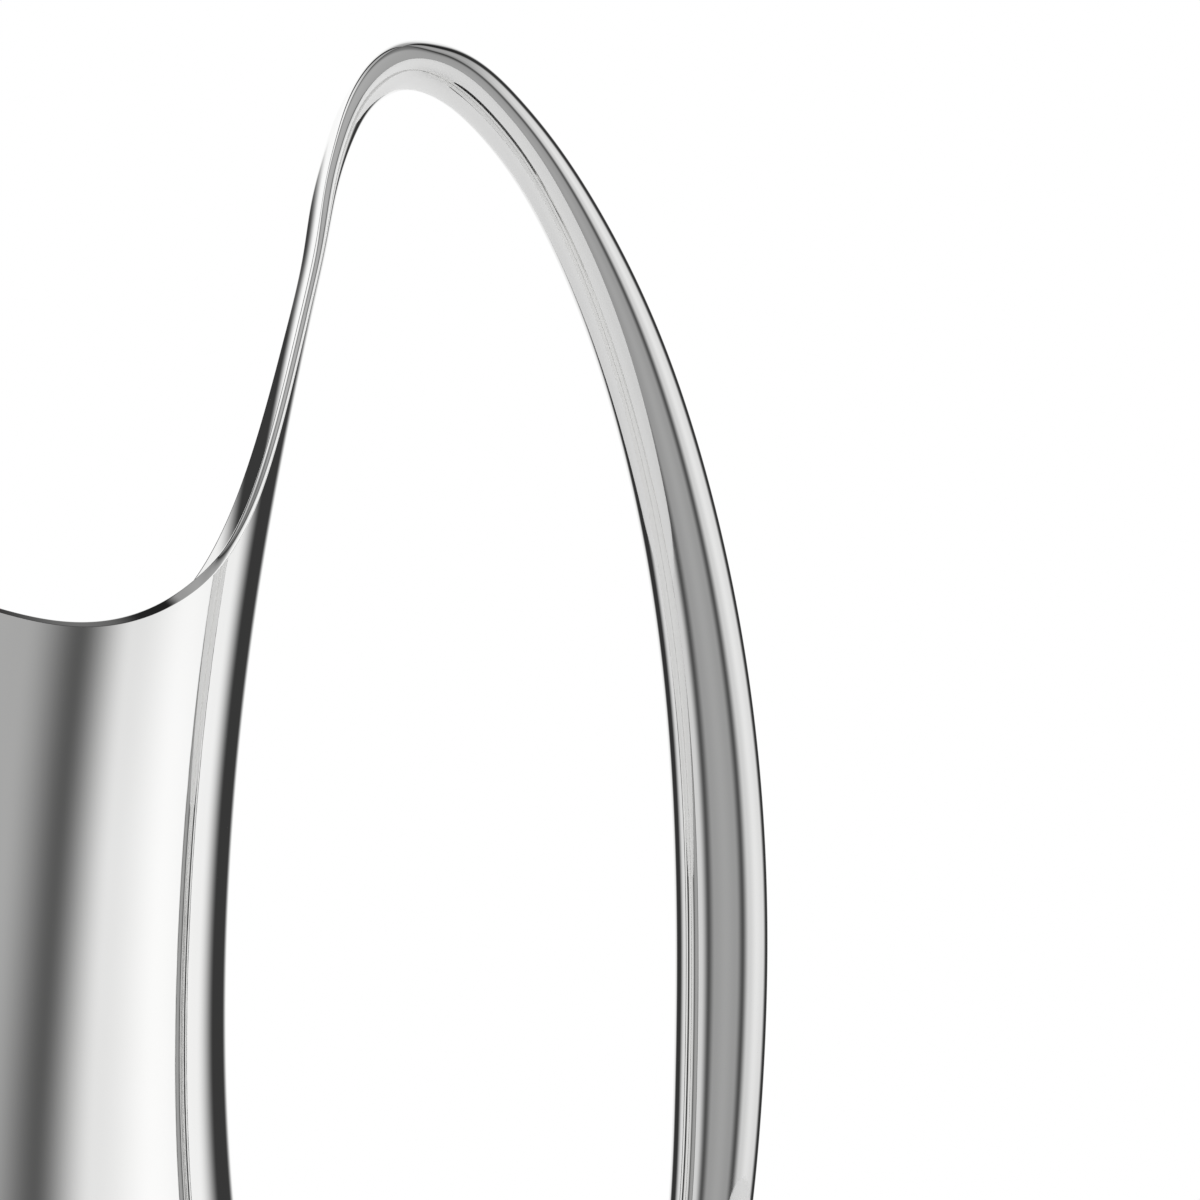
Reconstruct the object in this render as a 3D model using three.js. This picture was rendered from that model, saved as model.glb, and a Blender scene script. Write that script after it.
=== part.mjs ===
// Silver water pitcher: a raised body whose wall sweeps up into a strap, and a hollow loop handle
// that arches over from the strap and comes down to the body.
// Millimetres, +Z up, spout towards -X, handle towards +X, symmetric about Y = 0.
// The origin is the centre of the flat underside.
import * as THREE from "three";

// ---- Driving dimensions ----
const WALL = 1.2; // sheet of the body
const GAP = 0.3; // clearance at each soldered seam
const SEAM_HEIGHT = 250; // where the strap of the body meets the handle neck
const SHELL_FOOT = 4.5; // height of the body's lower edge

const WIRE_ACROSS = 0.62; // half sizes of the rim wire, through the wall and up from it
const WIRE_UP = 0.45;

const PLATE_RADIUS = 33;
const PLATE_THICK = 1.8;
const PLATE_BEVEL = 0.3;
const FOOT_RADIUS = 37.6;
const FOOT_HEIGHT = SHELL_FOOT - GAP;

const TUBE_WALL = 1; // sheet of the hollow handle
const NECK_END = 0.5; // shares of the handle's length where the neck ends and the root begins
const ROOT_START = 0.945;
const ROOT_HEIGHT = 87; // middle of the root's footprint on the body
const ROOT_HALF_WIDTH = 12;
const ROOT_HALF_HEIGHT = 12.5;
const ROOT_EDGE = 0.5; // thickness of the root's feathered edge
const ROOT_PULL = 14; // how strongly the root keeps the handle's direction
const ROOT_FLARE = 12; // how strongly it spreads along the body

// The body at equal steps of height, from the bottom up: handle-side outline, half length, half width,
// how much fuller the handle side is than the spout side, reach of the spout, and pinch of the spout.
const LEVEL_STEP = 20;
const LEVELS = [
  [33.5, 33.5, 33.5, 0, 0, 0],
  [54.5, 54.5, 54.5, 0, 0, 0],
  [62.4, 63, 61, 0, 0, 0],
  [62.6, 63.4, 61, 0, 0, 0],
  [57.7, 59.4, 56.5, 0, 0, 0],
  [51.3, 53.6, 49.5, 0.01, 0, 0],
  [46.3, 49, 43, 0.02, 0, 0],
  [43.2, 46, 38.3, 0.03, 0, 0],
  [42, 44.8, 34.8, 0.05, 1, 0.01],
  [42.3, 45.6, 33.4, 0.07, 3, 0.04],
  [43.7, 47.8, 33.6, 0.09, 9, 0.09],
  [46.3, 49.6, 34.6, 0.1, 18, 0.15],
  [50, 50, 35, 0.1, 30, 0.22],
  [54.1, 50, 35, 0.1, 42, 0.28],
  [59.1, 50, 35, 0.1, 54, 0.33],
];
const BODY_TOP = LEVEL_STEP * (LEVELS.length - 1);

// Half of the mouth's top edge, from the spout's tip to the strap: degrees round from the handle side,
// and height.
const RIM = [
  [180, 243.5],
  [157, 243.3],
  [134.8, 235.4],
  [113.6, 225.9],
  [92, 216.9],
  [73.5, 211],
  [60.5, 209.1],
  [49.1, 210.5],
  [38.7, 214.2],
  [28.9, 219.5],
  [21.2, 226.7],
  [16.1, 235.4],
  [13, 245],
  [11.3, 255],
];

// The strap and handle, from the strap over the arch and down to the body: x and z of the middle of the
// section, its thickness, its half width, how far its edges bend back, and how much of it is round.
const HANDLE = [
  [51.5, 250, 1.25, 8.6, 1.26, 0.07],
  [52.7, 255.8, 1.3, 8, 1.13, 0.08],
  [53.6, 261.6, 1.4, 7.6, 1, 0.1],
  [54.7, 267.4, 1.5, 7.25, 0.9, 0.16],
  [56.1, 273.1, 2, 6.9, 0.75, 0.35],
  [58.1, 278.9, 3.3, 6.5, 0.4, 0.8],
  [63.1, 283.9, 5.6, 6, 0.05, 1],
  [70.2, 282.5, 6.7, 5.7, 0, 1],
  [76.1, 277, 6.4, 5.6, 0, 1],
  [83, 268.3, 6.8, 5.5, 0, 1],
  [92, 250.2, 8.6, 5.5, 0, 1],
  [98.6, 227.3, 9.7, 5.7, 0, 1],
  [102.4, 204.2, 10.9, 5.8, 0, 1],
  [103.8, 180.7, 11.6, 6, 0, 1],
  [103.3, 157.3, 11.2, 6, 0, 1],
  [101.7, 133.8, 9.7, 5.7, 0, 1],
  [96.2, 110.4, 8.8, 5.5, 0, 1],
  [79.5, 92.6, 8.9, 5.6, 0, 1],
  [54.4, 86.4, 10.2, 6.3, 0, 1],
];

// How finely the surfaces are cut into facets.
const MOUTH_STEPS = 38; // along each half of the mouth
const STRAP_STEPS = 6; // across the top of the strap
const HEIGHT_STEPS = 21;
const CROWDING = 1.3; // above 1, the steps of height crowd towards the foot
const WIRE_SIDES = 8;
const SECTION_POINTS = 20; // round the handle's section
const ARC_POINTS = 9; // round each face of a handle half
const NECK_STEPS = 26;
const TUBE_STEPS = 22;
const ROOT_STEPS = 7;
const TURN_STEPS = 64; // round the foot and base

// ---- Curves ----
// A smooth curve guided by rows of numbers; it starts at the first row and ends at the last.
function along(rows, share) {
  const last = rows.length - 1;
  const x = THREE.MathUtils.clamp(share, 0, 1) * last;
  const i = Math.min(Math.floor(x), last - 1);
  const t = x - i;
  const before = (c) => 2 * rows[0][c] - rows[1][c];
  const after = (c) => 2 * rows[last][c] - rows[last - 1][c];
  const value = (k, c) => (k < 0 ? before(c) : k > last ? after(c) : rows[k][c]);
  const weights = [(1 - t) ** 3, 3 * t ** 3 - 6 * t ** 2 + 4, -3 * t ** 3 + 3 * t ** 2 + 3 * t + 1, t ** 3];
  return rows[0].map((_, c) => weights.reduce((sum, w, k) => sum + w * value(i - 1 + k, c), 0) / 6);
}

// A point moved some way along a direction, on a copy.
function moved(point, direction, distance) {
  return point.clone().addScaledVector(direction, distance);
}

// ---- Body ----
// A point on the body's outer face, at an angle round from the handle side.
function wallPoint(angle, height) {
  const [outline, halfLength, halfWidth, fullness, reach, pinch] = along(LEVELS, height / BODY_TOP);
  const forward = (1 - Math.cos(angle)) / 2; // 0 at the handle side, 1 at the spout
  const x = outline - 2 * halfLength * forward - reach * forward ** 3;
  const y = halfWidth * Math.sin(angle) * (1 + fullness * Math.cos(angle)) * (1 - pinch * forward ** 2);
  return new THREE.Vector3(x, y, height);
}

// The outward direction there.
function wallNormal(angle, height) {
  const turn = 0.002;
  const rise = 0.1;
  const around = wallPoint(angle + turn, height).sub(wallPoint(angle - turn, height));
  const up = wallPoint(angle, height + rise).sub(wallPoint(angle, height - rise));
  return around.cross(up).normalize();
}

// The strap's end is cut square to the handle's first direction.
const STRAP_START = handlePath(0);
function seamHeight(angle) {
  const lean = -STRAP_START.towardsGap.z / STRAP_START.towardsGap.x;
  return SEAM_HEIGHT - (wallPoint(angle, SEAM_HEIGHT).x - STRAP_START.middle.x) * lean;
}

// The mouth's top edge over the outer face: where it is, which way is out of the wall, and which way is
// off the edge.
function rimFrame(share) {
  const at = (s) => {
    const [degrees, height] = along(RIM, s);
    return [THREE.MathUtils.degToRad(degrees), height];
  };
  const small = 0.001;
  const [angle, height] = at(share);
  const run = wallPoint(...at(share + small)).sub(wallPoint(...at(share - small)));
  const out = wallNormal(angle, height);
  return { angle, height, point: wallPoint(angle, height), out, off: run.cross(out).normalize() };
}

// Frames at equal distances along the mouth's edge, down to where the strap's seam cuts it.
function evenRimFrames(steps) {
  const fine = 600; // trial points along the whole edge
  const frames = [rimFrame(0)];
  const lengths = [0];
  for (let i = 1; i <= fine; i++) {
    const frame = rimFrame(i / fine);
    const nearStrap = i > fine / 2;
    if (nearStrap && frame.height > seamHeight(frame.angle)) break;
    lengths.push(lengths.at(-1) + frame.point.distanceTo(frames.at(-1).point));
    frames.push(frame);
  }
  const even = [frames[0]];
  for (let k = 1; k < steps; k++) {
    const wanted = (lengths.at(-1) * k) / steps;
    const next = lengths.findIndex((length) => length >= wanted);
    const part = (wanted - lengths[next - 1]) / (lengths[next] - lengths[next - 1]);
    even.push(rimFrame((next - 1 + part) / fine));
  }
  return [...even, frames.at(-1)];
}

const RIM_FRAMES = evenRimFrames(MOUTH_STEPS);
const mirrored = (v) => new THREE.Vector3(v.x, -v.y, v.z);

// One upright line of the shell, its outer face up and its inner face down, with the edge between them.
// It leaves the foot at one angle and reaches the mouth at another.
function shellLine(footAngle, angle, top, edge, out) {
  const settled = 200; // above this height the line keeps the mouth's angle
  const outer = [];
  const inner = [];
  for (let i = 0; i < HEIGHT_STEPS; i++) {
    const height = THREE.MathUtils.lerp(SHELL_FOOT, top, (i / HEIGHT_STEPS) ** CROWDING);
    const here = THREE.MathUtils.lerp(footAngle, angle, THREE.MathUtils.smoothstep(height, 0, settled));
    const point = wallPoint(here, height);
    outer.push(point);
    inner.push(moved(point, wallNormal(here, height), -WALL));
  }
  inner[0].z = SHELL_FOOT; // the lower edge is flat
  return [...outer, edge, moved(edge, out, -WALL), ...inner.reverse()];
}

function strapLine(footAngle, angle) {
  const top = seamHeight(angle);
  return shellLine(footAngle, angle, top, wallPoint(angle, top), wallNormal(angle, top));
}

function bodyShell() {
  const drop = 2 * WIRE_UP + GAP; // the wire takes the top of the edge
  const strapAtFoot = 0.22; // half the strap's share of the turn, where its lines leave the foot
  const near = RIM_FRAMES.map(({ angle, height, point, out, off }, k) => {
    const footAngle = THREE.MathUtils.lerp(Math.PI, strapAtFoot, k / MOUTH_STEPS);
    return shellLine(footAngle, angle, height - drop, moved(point, off, -drop), out);
  });
  const corner = RIM_FRAMES.at(-1);
  const strapAngle = corner.angle * (1 - drop / corner.point.y);
  for (let k = 1; k < STRAP_STEPS / 2; k++) {
    const across = 1 - (2 * k) / STRAP_STEPS;
    near.push(strapLine(strapAtFoot * across, strapAngle * across));
  }
  const far = near.slice(1).reverse().map((line) => line.map(mirrored));
  return closedBothWays([...near, strapLine(0, 0), ...far]);
}

// The wire soldered along the mouth's edge, an oval in section.
function rimWire() {
  const ring = ({ point, out, off }) => {
    const middle = moved(moved(point, out, -WALL / 2), off, -WIRE_UP);
    return Array.from({ length: WIRE_SIDES }, (_, k) => {
      const turn = ((k + 0.5) * 2 * Math.PI) / WIRE_SIDES;
      return moved(moved(middle, out, -WIRE_ACROSS * Math.sin(turn)), off, WIRE_UP * Math.cos(turn));
    });
  };
  const near = RIM_FRAMES.map(ring);
  const far = near.slice(1).map((points) => points.map(mirrored));
  return capped([...far.reverse(), ...near]);
}

// ---- Handle ----
// The middle of the handle's section, its sizes and its direction towards the finger gap.
function handlePath(share) {
  const small = 0.0005;
  const [x, z, thickness, halfWidth, bend, roundShare] = along(HANDLE, share);
  const [x0, z0] = along(HANDLE, share - small);
  const [x1, z1] = along(HANDLE, share + small);
  const ahead = new THREE.Vector3(x1 - x0, 0, z1 - z0).normalize();
  return {
    middle: new THREE.Vector3(x, 0, z),
    ahead,
    towardsGap: new THREE.Vector3(ahead.z, 0, -ahead.x),
    thickness,
    halfWidth,
    bend,
    roundShare: Math.min(roundShare, 1),
  };
}

// A point of the section: across runs from -1 to 1 over the width, side is 1 on the finger gap's side and -1
// on the other, and inset is how far inside the surface it lies.
function handlePoint(path, across, side, inset = 0) {
  const round = path.roundShare * path.halfWidth;
  const widestFlat = 0.55; // share of the points that a flat strap keeps on its flat middle
  const flatShare = widestFlat * (1 - path.roundShare);
  const reach = Math.abs(across);
  const flat = flatShare > 0 ? Math.min(reach / flatShare, 1) : 1;
  const turn = reach > flatShare ? ((reach - flatShare) / (1 - flatShare)) * (Math.PI / 2) : 0;
  const y = Math.sign(across) * ((path.halfWidth - round) * flat + (round - inset) * Math.sin(turn));
  const through = side * (path.thickness / 2 - inset) * Math.cos(turn) - path.bend * (y / path.halfWidth) ** 2;
  return moved(path.middle, path.towardsGap, through).setY(y);
}

// The whole outline of the section, first the finger gap's side and then back along the other.
function handleRing(path) {
  const half = SECTION_POINTS / 2;
  const steps = Array.from({ length: half }, (_, k) => (2 * k + 1) / half - 1);
  const gapSide = steps.map((across) => handlePoint(path, across, 1));
  const outerSide = steps.map((across) => handlePoint(path, across, -1));
  return [...gapSide, ...outerSide.reverse()];
}

const HANDLE_LENGTH = new THREE.SplineCurve(HANDLE.map(([x, z]) => new THREE.Vector2(x, z))).getLength();
const SEAM_SHARE = GAP / HANDLE_LENGTH; // share of the handle's length that a seam's clearance takes

// The solid casting from the strap over the arch to the top of the grip.
function handleNeck() {
  const strapSeam = 4 * SEAM_SHARE; // wider, because the strap's edge bends back past its middle
  const rings = [];
  for (let k = 0; k <= NECK_STEPS; k++) {
    const share = THREE.MathUtils.lerp(strapSeam, NECK_END, k / NECK_STEPS);
    rings.push(handleRing(handlePath(share)));
  }
  return capped(rings);
}

// Half of the hollow handle, on the finger gap's side (1) or the outer side (-1).
function handleHalf(side) {
  const rings = [];
  for (let k = 0; k <= TUBE_STEPS; k++) {
    const share = THREE.MathUtils.lerp(NECK_END + SEAM_SHARE, ROOT_START, k / TUBE_STEPS);
    const path = handlePath(share);
    const arc = (inset) => {
      const last = Math.acos(GAP / 2 / (path.thickness / 2 - inset)) / (Math.PI / 2);
      return Array.from({ length: ARC_POINTS }, (_, i) => {
        const across = last * ((2 * i) / (ARC_POINTS - 1) - 1);
        return handlePoint(path, across, side, inset);
      });
    };
    const ring = [...arc(0), ...arc(TUBE_WALL).reverse()];
    rings.push(side > 0 ? ring : ring.reverse());
  }
  return capped(rings);
}

// Where a direction of the handle's section lands on the body: size 1 is the footprint's edge, 0 its middle.
function footprint(sideways, upwards, size, lift) {
  const halfTurn = Math.asin(ROOT_HALF_WIDTH / wallPoint(Math.PI / 2, ROOT_HEIGHT).y);
  const angle = halfTurn * size * sideways;
  const height = ROOT_HEIGHT + ROOT_HALF_HEIGHT * size * upwards;
  return moved(wallPoint(angle, height), wallNormal(angle, height), lift);
}

// The casting that flares from the handle's end to a footprint on the body.
function handleRoot() {
  const path = handlePath(ROOT_START + SEAM_SHARE);
  const ends = handleRing(path).map((from) => {
    const local = from.clone().sub(path.middle);
    const sideways = local.y / path.halfWidth;
    const upwards = local.dot(path.towardsGap) / (path.thickness / 2);
    const onBody = (size, lift) => footprint(sideways, upwards, size, lift);
    const edge = onBody(1, GAP + ROOT_EDGE);
    const spread = edge.clone().sub(onBody(0.9, GAP + ROOT_EDGE)).normalize();
    return { from, edge, spread, onBody };
  });
  const flare = (t) =>
    ends.map(({ from, edge, spread }) => {
      const point = new THREE.Vector3();
      point.addScaledVector(from, 2 * t ** 3 - 3 * t ** 2 + 1);
      point.addScaledVector(path.ahead, ROOT_PULL * (t ** 3 - 2 * t ** 2 + t));
      point.addScaledVector(edge, 3 * t ** 2 - 2 * t ** 3);
      return point.addScaledVector(spread, ROOT_FLARE * (t ** 3 - t ** 2));
    });
  const rings = [];
  for (let k = 0; k <= ROOT_STEPS; k++) rings.push(flare(k / ROOT_STEPS));
  const underside = [1, 0.7, 0.4, 0.15]; // smaller and smaller rings, laid on the body
  underside.forEach((size) => rings.push(ends.map(({ onBody }) => onBody(size, GAP))));
  return capped(rings);
}

// ---- Foot and base ----
function footRing() {
  const inner = PLATE_RADIUS + GAP;
  const profile = [
    [0, 0, inner],
    [0.4, 0],
    [0, 0.4],
    [0, 1.3],
    [0.5, 1.9],
    [1.1, 2.6],
    [0.9, 3.4],
    [0.1, FOOT_HEIGHT],
    [0, FOOT_HEIGHT, inner],
    [0, 0, inner],
  ].map(([narrower, height, radius = FOOT_RADIUS]) => [radius - narrower, height]);
  return turned(profile);
}

function basePlate() {
  return turned([
    [0, 0],
    [PLATE_RADIUS - PLATE_BEVEL, 0],
    [PLATE_RADIUS, PLATE_BEVEL],
    [PLATE_RADIUS, PLATE_THICK],
    [0, PLATE_THICK],
  ]);
}

// ---- Surfaces from points ----
function geometryOf(points, faces) {
  const geometry = new THREE.BufferGeometry();
  const coordinates = points.flatMap((p) => [p.x, p.y, p.z]);
  geometry.setAttribute("position", new THREE.Float32BufferAttribute(coordinates, 3));
  geometry.setIndex(faces);
  geometry.computeVertexNormals();
  return geometry;
}

function quad(faces, a, b, c, d) {
  faces.push(a, b, c, a, c, d);
}

// A surface through lines of points that closes on itself along the lines and across them.
function closedBothWays(lines) {
  const rows = lines[0].length;
  const faces = [];
  lines.forEach((_, i) => {
    const next = (i + 1) % lines.length;
    for (let k = 0; k < rows; k++) {
      const above = (k + 1) % rows;
      quad(faces, i * rows + k, i * rows + above, next * rows + above, next * rows + k);
    }
  });
  return geometryOf(lines.flat(), faces);
}

// A solid through rings of points, each of two matching halves, closed at both ends.
function capped(rings) {
  const size = rings[0].length;
  const faces = [];
  for (let r = 0; r + 1 < rings.length; r++) {
    for (let k = 0; k < size; k++) {
      const next = (k + 1) % size;
      quad(faces, r * size + k, r * size + next, (r + 1) * size + next, (r + 1) * size + k);
    }
  }
  const top = (rings.length - 1) * size;
  for (let k = 0; k + 1 < size / 2; k++) {
    quad(faces, k, size - 1 - k, size - 2 - k, k + 1);
    quad(faces, top + k, top + k + 1, top + size - 2 - k, top + size - 1 - k);
  }
  return geometryOf(rings.flat(), faces);
}

// A solid turned about Z from a profile of radius and height.
function turned(profile) {
  const points = profile.map(([radius, height]) => new THREE.Vector2(radius, height));
  return new THREE.LatheGeometry(points, TURN_STEPS).rotateX(Math.PI / 2);
}

// ---- Assembly ----
const BRIGHT = "#dcdcda"; // mirror-polished silver
const SATIN = "#c8c8c6"; // the underside, left softer

function piece(name, geometry, color, roughness) {
  const material = new THREE.MeshStandardMaterial({ color, roughness, metalness: 1 });
  const mesh = new THREE.Mesh(geometry, material);
  mesh.name = name;
  return mesh;
}

const pitcher = new THREE.Group();
pitcher.add(piece("body_shell", bodyShell(), BRIGHT, 0.04));
pitcher.add(piece("rim_wire", rimWire(), BRIGHT, 0.04));
pitcher.add(piece("base_plate", basePlate(), SATIN, 0.25));
pitcher.add(piece("foot_ring", footRing(), BRIGHT, 0.08));
pitcher.add(piece("handle_neck", handleNeck(), BRIGHT, 0.04));
pitcher.add(piece("handle_inner_half", handleHalf(1), BRIGHT, 0.04));
pitcher.add(piece("handle_outer_half", handleHalf(-1), BRIGHT, 0.04));
pitcher.add(piece("handle_root", handleRoot(), BRIGHT, 0.05));

export default pitcher;
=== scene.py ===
"""Looks of the silver water pitcher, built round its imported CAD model.

Shapes are worked out in millimetres and turned to metres when a mesh is made, in the CAD model's frame:
+Z up, spout towards -X, handle towards +X, symmetric about Y = 0.
"""

import math

import bpy
import numpy as np
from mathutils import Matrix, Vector

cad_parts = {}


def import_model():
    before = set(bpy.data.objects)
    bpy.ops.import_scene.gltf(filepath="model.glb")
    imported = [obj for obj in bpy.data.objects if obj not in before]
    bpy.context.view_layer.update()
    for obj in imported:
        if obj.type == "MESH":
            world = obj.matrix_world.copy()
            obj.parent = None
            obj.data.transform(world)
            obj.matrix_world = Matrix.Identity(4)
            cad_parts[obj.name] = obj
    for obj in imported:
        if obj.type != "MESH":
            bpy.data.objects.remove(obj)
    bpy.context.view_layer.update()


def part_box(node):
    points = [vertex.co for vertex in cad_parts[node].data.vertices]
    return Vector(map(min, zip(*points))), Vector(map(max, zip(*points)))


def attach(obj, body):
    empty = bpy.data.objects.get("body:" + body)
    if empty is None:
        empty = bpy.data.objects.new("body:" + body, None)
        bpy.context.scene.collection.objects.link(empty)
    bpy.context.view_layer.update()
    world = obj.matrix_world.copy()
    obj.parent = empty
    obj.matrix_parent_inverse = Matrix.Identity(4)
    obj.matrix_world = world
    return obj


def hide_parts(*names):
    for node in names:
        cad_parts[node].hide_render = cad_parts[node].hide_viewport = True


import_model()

MM = 0.001


def cad_box(node):
    """Lowest and highest corner of a CAD node, in millimetres."""
    return [np.array(corner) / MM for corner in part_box(node)]


# ---- Driving dimensions ----
WALL = 1.2  # sheet of the body
EDGE = 0.65  # height of the lip along the mouth
ROUND_LIP = (214, 223)  # heights over which the bevel turns into a half round
LIP_BEVEL = 1.1  # how far across the wall its bevel reaches
SHELL_FOOT = cad_box("body_shell")[0][2]
SEAM = cad_box("body_shell")[1][2]  # height where the strap of the body meets the handle neck
FOOT_RADIUS = cad_box("foot_ring")[1][0]
PLATE_RADIUS = cad_box("base_plate")[1][0]
PLATE_THICK = cad_box("base_plate")[1][2]
TUBE_WALL = 1
NECK_END = 0.5  # shares of the handle's length where the neck ends and the root begins
ROOT_START = 0.945
ROOT_HEIGHT = 87
ROOT_HALF_WIDTH = 12
ROOT_HALF_HEIGHT = 12.5
ROOT_LIFT = 0.06  # thickness of the root's feathered edge
SHOULDER_CORNER = 2.2
SHOULDER_RISE = (256, 268)  # heights over which the outer corners grow square
SHOULDER_END = (59, 68)  # and the stretch of X over which they are round again
STRAP_BLEND = 20  # the height over which the strap's section turns into the handle's

# The body at equal steps of height, from the bottom up: handle-side outline, half length, half width,
# how much fuller the handle side is than the spout side, reach of the spout, and pinch of the spout.
LEVEL_STEP = 20
LEVELS = [
    [33.5, 33.5, 33.5, 0, 0, 0],
    [54.5, 54.5, 54.5, 0, 0, 0],
    [62.4, 63, 61, 0, 0, 0],
    [62.6, 63.4, 61, 0, 0, 0],
    [57.7, 59.4, 56.5, 0, 0, 0],
    [51.3, 53.6, 49.5, 0.01, 0, 0],
    [46.3, 49, 43, 0.02, 0, 0],
    [43.2, 46, 38.3, 0.03, 0, 0],
    [42, 44.8, 34.8, 0.05, 1, 0.01],
    [42.3, 45.6, 33.4, 0.07, 3, 0.04],
    [43.7, 47.8, 33.6, 0.09, 9, 0.09],
    [46.3, 49.6, 34.6, 0.1, 18, 0.15],
    [50, 50, 35, 0.1, 30, 0.22],
    [54.1, 50, 35, 0.1, 42, 0.28],
    [59.1, 50, 35, 0.1, 54, 0.33],
]
BODY_TOP = LEVEL_STEP * (len(LEVELS) - 1)

# Half of the mouth's top edge, from the spout's tip to the strap: degrees round from the handle side,
# and height.
RIM = [
    [180, 243.5],
    [157, 243.3],
    [134.8, 235.4],
    [113.6, 225.9],
    [92, 216.9],
    [73.5, 211],
    [60.5, 209.1],
    [49.1, 210.5],
    [38.7, 214.2],
    [28.9, 219.5],
    [21.2, 226.7],
    [16.1, 235.4],
    [13, 245],
    [11.3, 255],
]

# The strap and handle, from the strap over the arch and down to the body: x and z of the middle of the
# section, its thickness, its half width, how far its edges bend back, and how much of it is round.
HANDLE = [
    [51.5, 250, 1.25, 8.6, 1.26, 0.07],
    [52.7, 255.8, 1.3, 8, 1.13, 0.08],
    [53.6, 261.6, 1.4, 7.6, 1, 0.1],
    [54.7, 267.4, 1.5, 7.25, 0.9, 0.16],
    [56.1, 273.1, 2, 6.9, 0.75, 0.35],
    [58.1, 278.9, 3.3, 6.5, 0.4, 0.8],
    [63.1, 283.9, 5.6, 6, 0.05, 1],
    [70.2, 282.5, 6.7, 5.7, 0, 1],
    [76.1, 277, 6.4, 5.6, 0, 1],
    [83, 268.3, 6.8, 5.5, 0, 1],
    [92, 250.2, 8.6, 5.5, 0, 1],
    [98.6, 227.3, 9.7, 5.7, 0, 1],
    [102.4, 204.2, 10.9, 5.8, 0, 1],
    [103.8, 180.7, 11.6, 6, 0, 1],
    [103.3, 157.3, 11.2, 6, 0, 1],
    [101.7, 133.8, 9.7, 5.7, 0, 1],
    [96.2, 110.4, 8.8, 5.5, 0, 1],
    [79.5, 92.6, 8.9, 5.6, 0, 1],
    [54.4, 86.4, 10.2, 6.3, 0, 1],
]

# How finely the surfaces are cut into facets.
MOUTH_STEPS = 150
STRAP_STEPS = 14
HEIGHT_STEPS = 118
EDGE_STEPS = 28
SECTION_STEPS = 40
NECK_STEPS = 220
GRIP_STEPS = 240
ROOT_STEPS = 48
TURN_STEPS = 240


# ---- Curves ----
def along(rows, share):
    """A smooth curve guided by rows of numbers; it starts at the first row and ends at the last."""
    rows = np.asarray(rows, float)
    guided = np.vstack([2 * rows[0] - rows[1], rows, 2 * rows[-1] - rows[-2]])
    x = np.asarray(share, float) * (len(rows) - 1)
    i = np.clip(np.floor(x), 0, len(rows) - 2).astype(int)
    t = (x - i)[..., None]
    weights = ((1 - t) ** 3, 3 * t**3 - 6 * t**2 + 4, -3 * t**3 + 3 * t**2 + 3 * t + 1, t**3)
    return sum(weight * guided[i + k] for k, weight in enumerate(weights)) / 6


def unit(vectors):
    return vectors / np.linalg.norm(vectors, axis=-1, keepdims=True)


def smooth(x, low=0.0, high=1.0):
    """0 below low, 1 above high, and an even S between them."""
    t = np.clip((np.asarray(x, float) - low) / (high - low), 0, 1)
    return t * t * t * (t * (6 * t - 15) + 10)


def mirrored(points):
    return points * np.array([1, -1, 1])


# ---- Body ----
def wall_point(angle, height):
    """A point on the body's outer face, at an angle round from the handle side."""
    angle, height = np.broadcast_arrays(angle, height)
    outline, half_length, half_width, fullness, reach, pinch = np.moveaxis(along(LEVELS, height / BODY_TOP), -1, 0)
    forward = (1 - np.cos(angle)) / 2
    x = outline - 2 * half_length * forward - reach * forward**3
    y = half_width * np.sin(angle) * (1 + fullness * np.cos(angle)) * (1 - pinch * forward**2)
    return np.stack([x, y, height], -1)


def wall_normal(angle, height):
    turn = 0.002
    rise = 0.05
    around = wall_point(angle + turn, height) - wall_point(angle - turn, height)
    up = wall_point(angle, height + rise) - wall_point(angle, height - rise)
    return unit(np.cross(around, up))


def rim_frames(share):
    """Along the mouth's top edge: angle, height, point over the outer face, way out and way off the edge."""
    def place(s):
        degrees, height = np.moveaxis(along(RIM, s), -1, 0)
        return np.radians(degrees), height

    small = 0.001
    share = np.asarray(share, float)
    angle, height = place(share)
    run = wall_point(*place(share + small)) - wall_point(*place(share - small))
    out = wall_normal(angle, height)
    return angle, height, wall_point(angle, height), out, unit(np.cross(run, out))


def rim_share_at(height):
    """Where the strap's edge passes a height, as a share of the mouth's edge."""
    strap = np.linspace(0.75, 1.1, 1400)
    return np.interp(height, along(RIM, strap)[:, 1], strap)


def even_rim_shares(steps):
    """Shares of the mouth's edge at equal distances, from the spout's tip to the strap's seam."""
    fine = np.linspace(0, rim_share_at(SEAM), 3000)
    points = rim_frames(fine)[2]
    run = np.r_[0, np.cumsum(np.linalg.norm(np.diff(points, axis=0), axis=1))]
    return np.interp(np.linspace(0, run[-1], steps + 1), run, fine)


def strap_half(height):
    """Half of the strap's flat part at a height: its angle, and the height where its face meets the edge."""
    angle, _, point, _, off = rim_frames(rim_share_at(height))
    edge = point - EDGE * off
    return angle * edge[..., 1] / point[..., 1], edge[..., 2]


def shell_columns():
    """For each upright line of the shell, round from the tip over the near side to the strap and back:
    its angle at the foot and at the top, and its top height."""
    angle, _, _, _, off = rim_frames(even_rim_shares(MOUTH_STEPS))
    point = rim_frames(even_rim_shares(MOUTH_STEPS))[2]
    edge = point - EDGE * off
    foot = np.linspace(math.pi, 0.22, MOUTH_STEPS + 1)
    top_angle = angle_on_wall(edge, angle)
    half, edge_height = strap_half(SEAM)
    across = 1 - np.arange(1, STRAP_STEPS + 1) / STRAP_STEPS
    foot = np.r_[foot, 0.22 * across]
    top_angle = np.r_[top_angle, half * across]
    top = np.r_[edge[:, 2], SEAM + (edge_height - SEAM) * across**2]
    return [
        np.r_[foot, -foot[-2:0:-1]],
        np.r_[top_angle, -top_angle[-2:0:-1]],
        np.r_[top, top[-2:0:-1]],
    ]


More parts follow.
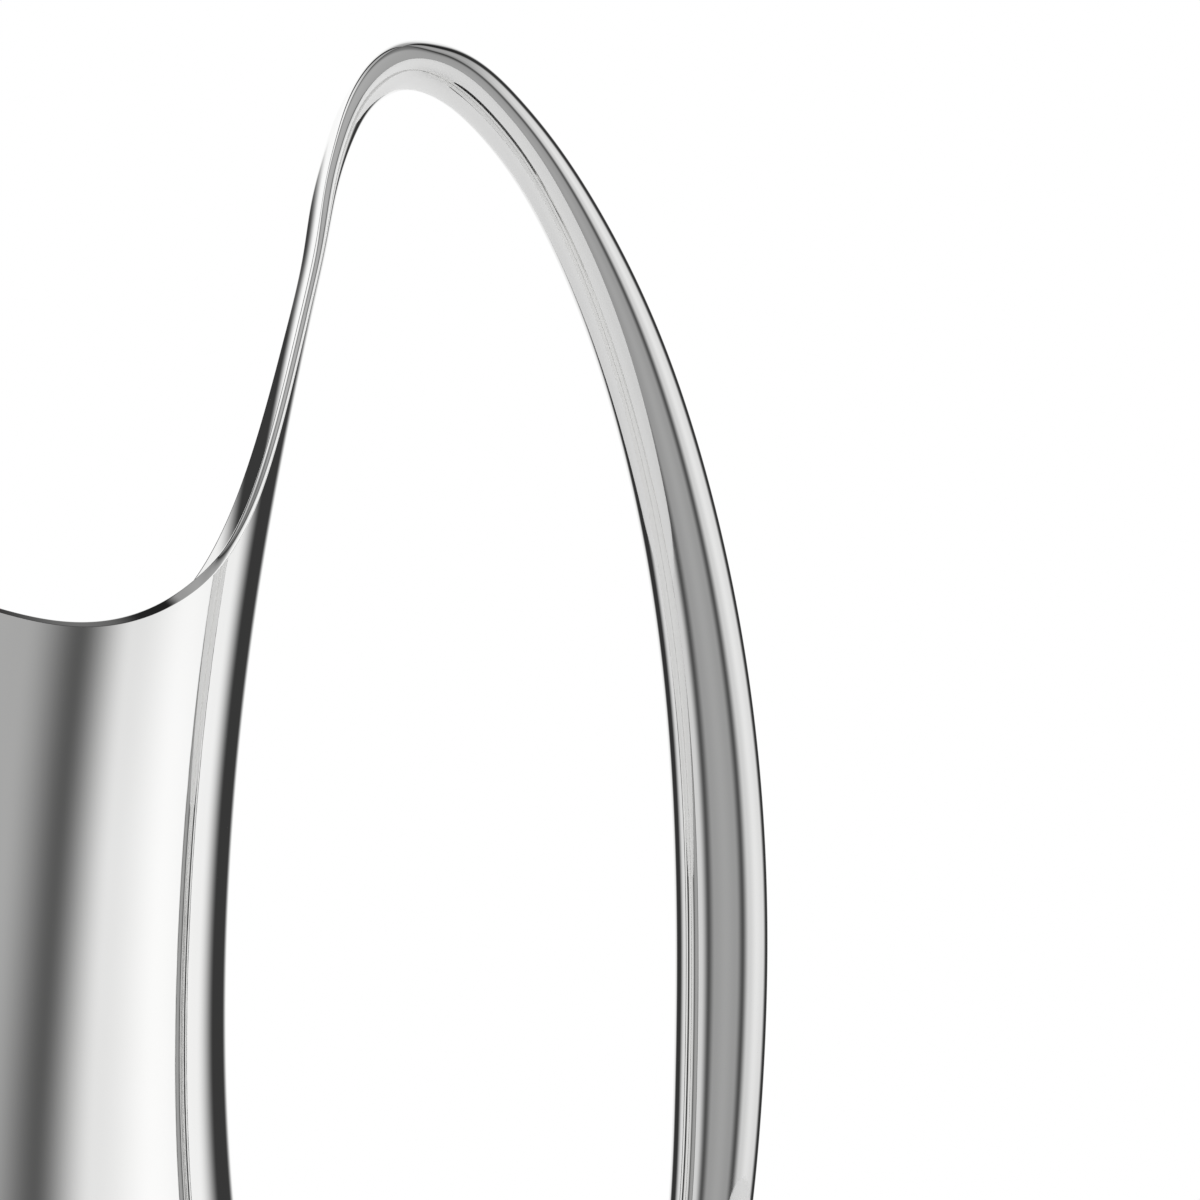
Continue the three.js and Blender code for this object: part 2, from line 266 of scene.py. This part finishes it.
def angle_on_wall(points, guess):
    """The angle at which the wall passes points that lie on it."""
    angle = np.array(guess, float)
    small = 1e-4
    for _ in range(6):
        here = wall_point(angle, points[:, 2])
        ahead = unit(wall_point(angle + small, points[:, 2]) - here)
        step = np.sum((points - here) * ahead, axis=1)
        rate = np.linalg.norm(wall_point(angle + small, points[:, 2]) - here, axis=1) / small
        angle = angle + step / rate
    return angle


def body_shell():
    foot, top_angle, top = shell_columns()
    rise = np.linspace(0, 1, HEIGHT_STEPS + 1)[:, None] ** 1.15
    height = SHELL_FOOT + (top - SHELL_FOOT) * rise
    settled = np.clip(height / 200, 0, 1)
    angle = foot + (top_angle - foot) * settled**2 * (3 - 2 * settled)
    outer = wall_point(angle, height)
    normal = wall_normal(angle, height)
    inner = outer - WALL * normal
    inner[0, :, 2] = SHELL_FOOT
    points = np.concatenate([outer, inner[::-1]])
    normals = np.concatenate([normal, -normal[::-1]])
    return grid_mesh("silver_body", points, normals, closed_rows=True, closed_columns=True, flip=True)


def edge_profile(turn):
    """The lip in section, in millimetres in and down from its outer top corner, and which way it faces.

    turn runs from 0 at the outer face to pi at the inner face. A wide bevel faces outwards and up,
    and its corners are softened.
    """
    corners = np.array([[0, -EDGE - 0.1], [0, -EDGE], [0, -EDGE], [-LIP_BEVEL, 0], [-LIP_BEVEL, 0], [-WALL, -0.25], [-WALL, -EDGE], [-WALL, -EDGE - 0.1]])
    share = 1 / 14 + np.asarray(turn) / math.pi * 12 / 14
    small = 1e-3
    place = along(corners, share)
    run = along(corners, share + small) - along(corners, share - small)
    return place, unit(np.stack([run[..., 1], -run[..., 0]], -1))


def lip(frames, turn):
    """Points and normals of the lip at frames of the mouth's edge. Up the strap the bevel becomes half round."""
    _, height, point, out, off = frames
    place, facing = edge_profile(turn)
    round_facing = np.stack([np.cos(turn), np.sin(turn)], -1)
    round_place = np.array([WALL / 2, EDGE]) * (round_facing - 1)
    rounded = smooth(np.asarray(height), *ROUND_LIP)[..., None]
    place = place + rounded * (round_place - place)
    facing = unit(facing + rounded * (round_facing - facing))
    points = point + place[..., :1] * out + place[..., 1:] * off
    return points, facing[..., :1] * out + facing[..., 1:] * off


def rim_rings(share):
    """Half rings of the lip, from the outer face over the top to the inner face."""
    frames = [value[:, None] for value in rim_frames(share)]
    return lip(frames, np.linspace(0, math.pi, EDGE_STEPS + 1))


def rim_wire():
    points, normals = rim_rings(even_rim_shares(2 * MOUTH_STEPS))
    points = np.concatenate([mirrored(points[:0:-1]), points])
    normals = np.concatenate([mirrored(normals[:0:-1]), normals])
    return grid_mesh("silver_rim_wire", points, normals, closed_columns=True, capped=True)


# ---- Handle ----
def handle_path(share):
    small = 0.0005
    values = along(HANDLE, share)
    ahead = unit(along(HANDLE, share + small)[..., :2] - along(HANDLE, share - small)[..., :2])
    zero = np.zeros(values.shape[:-1])
    middle = np.stack([values[..., 0], zero, values[..., 1]], -1)
    to_gap = np.stack([ahead[..., 1], zero, -ahead[..., 0]], -1)
    return middle, to_gap, values[..., 2:]


def section_steps():
    """Round the section: across from -1 to 1 on the finger gap's side (1), then back on the other (-1)."""
    half = SECTION_STEPS
    across = (np.arange(half) + 0.5) * 2 / half - 1
    return np.r_[across, across[::-1]], np.r_[np.ones(half), -np.ones(half)]


def split_section(across, round_share):
    """How far along the flat part, and what turn round the edge, each step of the section is."""
    flat_share = 0.55 * (1 - np.minimum(round_share, 1))
    reach = np.abs(across)
    flat = np.where(flat_share > 1e-9, np.minimum(reach / np.maximum(flat_share, 1e-9), 1), 1)
    turn = np.maximum(reach - flat_share, 0) / (1 - flat_share) * math.pi / 2
    return flat, turn


def shoulder(share, middle):
    """The exponent of the section's outer corners: 2 is round, more is squarer, as on the strap's way into the arch."""
    rising = smooth(middle[:, 2], *SHOULDER_RISE) * (1 - smooth(middle[:, 0], *SHOULDER_END))
    return 2 + SHOULDER_CORNER * np.where(share < 0.5, rising, 0)


def handle_rings(share):
    """Sections of the handle at shares of its length."""
    share = np.asarray(share, float)
    middle, to_gap, values = handle_path(share)
    thickness, half_width, bend, round_share = (values[:, k : k + 1] for k in range(4))
    across, side = section_steps()
    flat, turn = split_section(across, round_share)
    edge = np.minimum(round_share, 1) * half_width
    corner = np.where(side < 0, shoulder(share, middle)[:, None], 2)
    swell = (np.sin(turn) ** corner + np.cos(turn) ** corner) ** (-1 / corner)
    y = np.sign(across) * ((half_width - edge) * flat + edge * swell * np.sin(turn))
    through = side * thickness / 2 * swell * np.cos(turn) - bend * (y / half_width) ** 2
    points = middle[:, None, :] + through[..., None] * to_gap[:, None, :]
    points[..., 1] = y
    return points


def strap_rings(share):
    """The same sections, but following the body's wall and the mouth's edge."""
    share = np.asarray(share, float)
    height = along(HANDLE, share)[:, 1:2]
    across, side = section_steps()
    flat, turn = split_section(across, along(HANDLE, share)[:, 5:6])
    half, edge_height = strap_half(height)
    angle = half * flat * np.sign(across)
    level = height + (edge_height - height) * flat**2
    face = wall_point(angle, level) - np.where(side > 0, 0, WALL)[:, None] * wall_normal(angle, level)
    frames = [value[:, None] for value in rim_frames(rim_share_at(height[:, 0]))]
    edge, _ = lip(frames, np.where(side > 0, turn, math.pi - turn))
    edge = np.where(across[:, None] < 0, mirrored(edge), edge)
    return np.where((turn > 0)[..., None], edge, face)


def handle_surface(share):
    """Sections of the strap's end, the arch and the grip as one smooth surface."""
    share = np.asarray(share, float)
    points = handle_rings(share)
    height = along(HANDLE, share)[:, 1]
    low = (height < SEAM + STRAP_BLEND) & (share < 0.3)
    strap = strap_rings(share[low])
    weight = smooth(height[low], SEAM, SEAM + STRAP_BLEND)[:, None, None]
    points[low] = strap + weight * (points[low] - strap)
    return points


def seam_share():
    fine = np.linspace(-0.02, 0.1, 2400)
    return np.interp(SEAM, along(HANDLE, fine)[:, 1], fine)


def ring_normals(rings):
    """Normals of closed rings, by the rings on either side; the first and last ring only serve as those."""
    around = np.roll(rings, -1, axis=1) - np.roll(rings, 1, axis=1)
    onward = np.empty_like(rings)
    onward[1:-1] = rings[2:] - rings[:-2]
    return unit(np.cross(around[1:-1], onward[1:-1]))


def handle_stretch(first, last, steps):
    """Rings and normals of the handle between two shares of its length."""
    step = (last - first) / steps
    share = first + step * np.arange(-1, steps + 2)
    rings = handle_surface(share)
    return rings[1:-1], ring_normals(rings)


def handle_neck():
    points, normals = handle_stretch(seam_share(), NECK_END, NECK_STEPS)
    return grid_mesh("silver_handle_neck", points, normals, closed_columns=True, capped=True)


def handle_half(name, side):
    points, normals = handle_stretch(NECK_END, ROOT_START, GRIP_STEPS)
    half = SECTION_STEPS
    start = 0 if side > 0 else half
    order = np.arange(start - 1, start + half + 1) % (2 * half)
    points, normals = points[:, order], normals[:, order]
    points[:, [0, -1]] = (points[:, [0, -1]] + points[:, [1, -2]]) / 2  # the halves meet midway
    normals[:, [0, -1]] = unit(normals[:, [0, -1]] + normals[:, [1, -2]])
    inner = points - TUBE_WALL * normals
    points = np.concatenate([points, inner[:, ::-1]], axis=1)
    normals = np.concatenate([normals, -normals[:, ::-1]], axis=1)
    return grid_mesh(name, points, normals, closed_columns=True, capped=True)


def footprint(sideways, upwards, size, lift):
    """Where a direction of the handle's section lands on the body; size 1 is the edge, 0 the middle."""
    half_turn = math.asin(ROOT_HALF_WIDTH / wall_point(math.pi / 2, ROOT_HEIGHT)[1])
    angle = half_turn * size * sideways
    height = ROOT_HEIGHT + ROOT_HALF_HEIGHT * size * upwards
    return wall_point(angle, height) + lift * wall_normal(angle, height)


def handle_root():
    small = 0.001
    before, start, after = handle_surface([ROOT_START - small, ROOT_START, ROOT_START + small])
    middle, to_gap, values = handle_path(ROOT_START)
    sideways = start[:, 1] / values[1]
    upwards = (start - middle) @ to_gap / (values[0] / 2)
    edge = footprint(sideways, upwards, 1, ROOT_LIFT)
    spread = unit(edge - footprint(sideways, upwards, 0.98, ROOT_LIFT))
    reach = np.linalg.norm(edge - start, axis=-1, keepdims=True)
    leave = 0.9 * reach * (after - before) / np.linalg.norm((after - before).mean(0))
    settle = 0.9 * reach * spread
    t = np.linspace(0, 1, ROOT_STEPS + 1)[:, None, None]
    flare = (
        (2 * t**3 - 3 * t**2 + 1) * start
        + (t**3 - 2 * t**2 + t) * leave
        + (3 * t**2 - 2 * t**3) * edge
        + (t**3 - t**2) * settle
    )
    ghost_start = flare[:1] - leave / ROOT_STEPS
    ghost_end = flare[-1:] + settle / ROOT_STEPS
    normals = ring_normals(np.concatenate([ghost_start, flare, ghost_end]))
    under = np.array([footprint(sideways, upwards, size, ROOT_LIFT) for size in (0.98, 0.66, 0.33, 0.02)])
    down = -np.array([footprint(sideways, upwards, size, 1) - footprint(sideways, upwards, size, 0) for size in (0.98, 0.66, 0.33, 0.02)])
    return grid_mesh("silver_handle_root", np.concatenate([flare, under]), np.concatenate([normals, down]), closed_columns=True, capped=True)


# ---- Foot and base ----
def turned(name, profile, steps):
    """A solid turned about Z from a closed loop of radius and height, given counter-clockwise."""
    angle = np.linspace(0, 2 * math.pi, steps, endpoint=False)[:, None]
    radius, height = np.asarray(profile, float).T
    points = np.stack([radius * np.cos(angle), radius * np.sin(angle), height + 0 * angle], -1)
    return points


def foot_ring():
    curve = along(
        [
            [FOOT_RADIUS - 0.7, 0],
            [FOOT_RADIUS - 0.1, 0.1],
            [FOOT_RADIUS, 0.8],
            [FOOT_RADIUS - 0.1, 1.5],
            [FOOT_RADIUS - 0.9, 2.1],
            [FOOT_RADIUS - 1.3, 3],
            [FOOT_RADIUS - 0.7, 3.9],
            [FOOT_RADIUS + 0.5, SHELL_FOOT],
        ],
        np.linspace(0, 1, 36),
    )
    profile = [[PLATE_RADIUS, 0], [PLATE_RADIUS + 1, 0], *curve, [PLATE_RADIUS + 1, SHELL_FOOT], [PLATE_RADIUS, SHELL_FOOT]]
    points = turned("silver_foot_ring", profile, TURN_STEPS)
    return grid_mesh("silver_foot_ring", points, None, closed_rows=True, closed_columns=True, flip=True)


def base_plate():
    radii = [0.01, 11, 22, PLATE_RADIUS - 1, PLATE_RADIUS - 0.25, PLATE_RADIUS - 0.02]
    under = [[radius, 0] for radius in radii]
    under[-1][1] = 0.25
    over = [[radius, PLATE_THICK] for radius in radii[::-1]]
    points = turned("silver_base_plate", under + over, TURN_STEPS)
    return grid_mesh("silver_base_plate", points, None, closed_rows=True, closed_columns=False, capped=False, flip=True, poles=True)


# ---- Meshes ----
def grid_mesh(name, points, normals, closed_rows=False, closed_columns=False, capped=False, flip=False, poles=False):
    """A mesh through a grid of points, rows by columns, that shades by its own normals where they are given."""
    rows, columns = points.shape[:2]
    row = np.arange(rows if closed_rows else rows - 1)[:, None]
    column = np.arange(columns if closed_columns else columns - 1)[None, :]
    next_row, next_column = (row + 1) % rows, (column + 1) % columns
    corners = [row * columns + column, row * columns + next_column, next_row * columns + next_column, next_row * columns + column]
    quads = np.stack(np.broadcast_arrays(*corners), -1).reshape(-1, 4)
    faces = quads.tolist()
    if capped:
        faces.append(list(range(columns))[::-1])
        faces.append(list(range((rows - 1) * columns, rows * columns)))
    if poles:
        faces.append([r * columns for r in range(rows)][::-1])
        faces.append([r * columns + columns - 1 for r in range(rows)])
    if flip:
        faces = [face[::-1] for face in faces]
    mesh = bpy.data.meshes.new(name)
    mesh.from_pydata((points.reshape(-1, 3) * MM).tolist(), [], faces)
    mesh.validate()
    mesh.shade_smooth()
    if normals is not None:
        mesh.normals_split_custom_set_from_vertices(normals.reshape(-1, 3).tolist())
    else:
        mesh.set_sharp_from_angle(angle=math.radians(35))
    piece = bpy.data.objects.new(name, mesh)
    bpy.context.scene.collection.objects.link(piece)
    return piece


# ---- Materials ----
def ranged(nodes, links, value, low, high, from_low=0.3, from_high=0.7):
    """A value between from_low and from_high, as one between low and high."""
    node = nodes.new("ShaderNodeMapRange")
    links.new(value, node.inputs["Value"])
    node.inputs["From Min"].default_value = from_low
    node.inputs["From Max"].default_value = from_high
    node.inputs["To Min"].default_value = low
    node.inputs["To Max"].default_value = high
    return node.outputs["Result"]


def noise(nodes, links, place, scale, detail=2.0):
    node = nodes.new("ShaderNodeTexNoise")
    links.new(place, node.inputs["Vector"])
    node.inputs["Scale"].default_value = scale
    node.inputs["Detail"].default_value = detail
    return node.outputs["Fac"]


def bump(nodes, links, height, distance, normal=None):
    node = nodes.new("ShaderNodeBump")
    links.new(height, node.inputs["Height"])
    node.inputs["Distance"].default_value = distance
    if normal is not None:
        links.new(normal, node.inputs["Normal"])
    return node.outputs["Normal"]


def inside(nodes, links, place):
    """1 on the inner wall well below the mouth, 0 elsewhere: where light is painted into the vessel."""
    level = nodes.new("ShaderNodeVectorMath")
    level.operation = "MULTIPLY"
    links.new(place, level.inputs[0])
    level.inputs[1].default_value = (1, 1, 0)
    towards = nodes.new("ShaderNodeVectorMath")
    towards.operation = "DOT_PRODUCT"
    links.new(level.outputs[0], towards.inputs[0])
    links.new(nodes.new("ShaderNodeNewGeometry").outputs["Normal"], towards.inputs[1])
    split = nodes.new("ShaderNodeSeparateXYZ")
    links.new(place, split.inputs[0])
    both = nodes.new("ShaderNodeMath")
    both.operation = "MULTIPLY"
    links.new(ranged(nodes, links, towards.outputs["Value"], 1, 0, -0.004, 0), both.inputs[0])
    links.new(ranged(nodes, links, split.outputs["Z"], 1, 0, 0.19, 0.225), both.inputs[1])
    return both.outputs[0]


def silver(name, smoothest, roughest, main_tone, drift_and_shade_tone, painted_shade_span=None):
    """Polished silver: broad planishing waves, fine hairlines, and a tone that drifts a little.

    It has two tones and drifts a little between them at random. Where a stretch of X is given, it goes across that
    stretch from the first tone to the second, darker one: painted shade that makes the handle's reflections dimmer than
    the body's.
    """
    material = bpy.data.materials.new(name)
    material.use_nodes = True
    nodes, links = material.node_tree.nodes, material.node_tree.links
    shader = nodes["Principled BSDF"]
    place = nodes.new("ShaderNodeTexCoord").outputs["Object"]
    if painted_shade_span is None:
        # Painted light: on the inner wall below the mouth the silver is only 0.8 metal, so its pale base catches the
        # plain white that diffuse rays see and the inside does not go black.
        links.new(ranged(nodes, links, inside(nodes, links, place), 1, 0.8, 0, 1), shader.inputs["Metallic"])
    else:
        shader.inputs["Metallic"].default_value = 1

    drift_and_shade = ranged(nodes, links, noise(nodes, links, place, 35), 0, 1)
    if painted_shade_span is not None:
        split = nodes.new("ShaderNodeSeparateXYZ")
        links.new(place, split.inputs[0])
        # Painted shade: past this stretch of X the handle's tone is painted darker, so its reflections read dimmer.
        painted_handle_shade = ranged(nodes, links, split.outputs["X"], 0, 1, *painted_shade_span)
        blend = nodes.new("ShaderNodeMath")
        blend.operation = "MULTIPLY_ADD"
        links.new(drift_and_shade, blend.inputs[0])
        blend.inputs[1].default_value = 0.06
        links.new(painted_handle_shade, blend.inputs[2])
        blend.use_clamp = True
        drift_and_shade = blend.outputs[0]
    tones = nodes.new("ShaderNodeValToRGB")
    links.new(drift_and_shade, tones.inputs[0])
    for element, tone in zip(tones.color_ramp.elements, (main_tone, drift_and_shade_tone)):
        element.color = (*tone, 1)
    links.new(tones.outputs["Color"], shader.inputs["Base Color"])

    polish = noise(nodes, links, place, 220, 4)
    links.new(ranged(nodes, links, polish, smoothest, roughest), shader.inputs["Roughness"])

    stretch = nodes.new("ShaderNodeMapping")
    links.new(place, stretch.inputs["Vector"])
    stretch.inputs["Scale"].default_value = (1, 1, 0.06)
    hairlines = bump(nodes, links, noise(nodes, links, stretch.outputs["Vector"], 2600, 3), 4e-7)
    waves = bump(nodes, links, noise(nodes, links, place, 28, 0), 5e-5, hairlines)
    links.new(waves, shader.inputs["Normal"])
    return material


def spun_silver(name):
    """Satin silver with the faint rings of spinning round Z."""
    material = bpy.data.materials.new(name)
    material.use_nodes = True
    nodes, links = material.node_tree.nodes, material.node_tree.links
    shader = nodes["Principled BSDF"]
    shader.inputs["Base Color"].default_value = (0.88, 0.875, 0.86, 1)
    shader.inputs["Metallic"].default_value = 1
    place = nodes.new("ShaderNodeTexCoord").outputs["Object"]
    links.new(ranged(nodes, links, noise(nodes, links, place, 150), 0.2, 0.32), shader.inputs["Roughness"])
    rings = nodes.new("ShaderNodeTexWave")
    rings.wave_type = "RINGS"
    rings.rings_direction = "Z"
    rings.inputs["Scale"].default_value = 500
    rings.inputs["Distortion"].default_value = 0.6
    links.new(place, rings.inputs["Vector"])
    links.new(bump(nodes, links, rings.outputs["Fac"], 1.5e-6), shader.inputs["Normal"])
    return material


# ---- Stage ----
FLOOR_SIZE = 3.0


def floor():
    """A plain pale floor."""
    corners = [(x * FLOOR_SIZE, y * FLOOR_SIZE, -0.0002) for x, y in ((-1, -1), (1, -1), (1, 1), (-1, 1))]
    mesh = bpy.data.meshes.new("floor")
    mesh.from_pydata(corners, [], [(0, 1, 2, 3)])
    plane = bpy.data.objects.new("floor", mesh)
    bpy.context.scene.collection.objects.link(plane)

    material = bpy.data.materials.new("pale_floor")
    mesh.materials.append(material)
    material.use_nodes = True
    nodes, links = material.node_tree.nodes, material.node_tree.links
    shader = nodes["Principled BSDF"]
    place = nodes.new("ShaderNodeTexCoord").outputs["Object"]
    tones = nodes.new("ShaderNodeValToRGB")
    links.new(noise(nodes, links, place, 4), tones.inputs[0])
    for element, tone in zip(tones.color_ramp.elements, (0.9, 0.93)):
        element.color = (tone, tone, tone, 1)
    links.new(tones.outputs["Color"], shader.inputs["Base Color"])
    shader.inputs["Roughness"].default_value = 0.6


CAMERA_PLACE = Vector((-0.0597, -0.9, 0.112))
CAMERA_AIM = Vector((0.0884, 0, 0.2169))
CAMERA_LENS = 223.1


def camera():
    data = bpy.data.cameras.new("camera")
    data.lens = CAMERA_LENS
    data.sensor_width = 36
    data.clip_start = 0.01
    data.clip_end = 20
    view = bpy.data.objects.new("camera", data)
    view.location = CAMERA_PLACE
    view.rotation_euler = (CAMERA_AIM - CAMERA_PLACE).to_track_quat("-Z", "Y").to_euler()
    bpy.context.scene.collection.objects.link(view)
    bpy.context.scene.camera = view


# The studio, alike left and right of the camera's axis: a white backdrop, a black flag and a soft box at
# each side, a dark gap, and the dimmer room behind the camera. Azimuth in degrees: 90 is the backdrop.
STUDIO_ROUND = [(-90, 0.45), (-62, 0.4), (-45, 0.1), (-25, 0.8), (0, 1), (28, 0.9), (46, 0.04), (62, 0.04),
                (75, 1), (90, 1)]
# The share of that light by elevation in degrees.
STUDIO_RISE = [(-90, 0.7), (-10, 0.9), (5, 1), (35, 1), (60, 0.5), (90, 0.3)]


def by_angle(nodes, links, angle, stops):
    """Brightness by an angle from -90 to 90 degrees."""
    share = nodes.new("ShaderNodeMapRange")
    links.new(angle, share.inputs["Value"])
    share.inputs["From Min"].default_value = -math.pi / 2
    share.inputs["From Max"].default_value = math.pi / 2
    ramp = nodes.new("ShaderNodeValToRGB")
    ramp.color_ramp.interpolation = "EASE"
    links.new(share.outputs["Result"], ramp.inputs[0])
    elements = ramp.color_ramp.elements
    while len(elements) < len(stops):
        elements.new(0.5)
    for element, (degrees, _) in zip(elements, stops):
        element.position = degrees / 180 + 0.5
    for element, (_, brightness) in zip(elements, stops):
        element.color = (brightness, brightness, brightness, 1)
    return ramp.outputs["Color"]


def calculated(nodes, links, operation, *values):
    node = nodes.new("ShaderNodeMath")
    node.operation = operation
    for value, socket in zip(values, node.inputs):
        links.new(value, socket)
    return node.outputs[0]


def world():
    """Plain soft studio light. The camera sees, and the floor is lit by, plain white."""
    lit = bpy.data.worlds.new("studio")
    bpy.context.scene.world = lit
    lit.use_nodes = True
    nodes, links = lit.node_tree.nodes, lit.node_tree.links
    direction = nodes.new("ShaderNodeSeparateXYZ")
    links.new(nodes.new("ShaderNodeTexCoord").outputs["Generated"], direction.inputs[0])
    aside = calculated(nodes, links, "ABSOLUTE", direction.outputs["X"])
    turn = calculated(nodes, links, "ARCTAN2", direction.outputs["Y"], aside)
    rise = calculated(nodes, links, "ARCSINE", direction.outputs["Z"])
    light = calculated(nodes, links, "MULTIPLY", by_angle(nodes, links, turn, STUDIO_ROUND),
                       by_angle(nodes, links, rise, STUDIO_RISE))
    path = nodes.new("ShaderNodeLightPath").outputs
    plain = calculated(nodes, links, "MAXIMUM", path["Is Camera Ray"], path["Is Diffuse Ray"])
    links.new(calculated(nodes, links, "MAXIMUM", light, plain), nodes["Background"].inputs["Color"])
    bpy.context.scene.view_settings.view_transform = "Standard"


camera()
world()
floor()

polished = silver("polished_silver", 0.012, 0.035, (0.975, 0.975, 0.97), (0.955, 0.953, 0.945))
# The handle's silver is painted down from 0.97 to 0.78 across X 48-70 mm: painted shade that dims its reflections below
# the body's.
painted_handle_shade = silver("silver_with_painted_shade", 0.015, 0.045, (0.97, 0.97, 0.965), (0.78, 0.78, 0.776), (0.048, 0.07))
satin = spun_silver("satin_silver")

PIECES = [
    (body_shell(), "body_shell", polished, "polished_silver"),
    (rim_wire(), "rim_wire", polished, "polished_silver"),
    (handle_neck(), "handle_neck", painted_handle_shade, "polished_silver"),
    (handle_half("silver_handle_inner_half", 1), "handle_inner_half", painted_handle_shade, "polished_silver"),
    (handle_half("silver_handle_outer_half", -1), "handle_outer_half", painted_handle_shade, "polished_silver"),
    (handle_root(), "handle_root", painted_handle_shade, "polished_silver"),
    (foot_ring(), "foot_ring", polished, "polished_silver"),
    (base_plate(), "base_plate", satin, "satin_silver"),
]
for piece, node, material, slot in PIECES:
    piece.data.materials.append(material)
    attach(piece, "root")
    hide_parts(node)
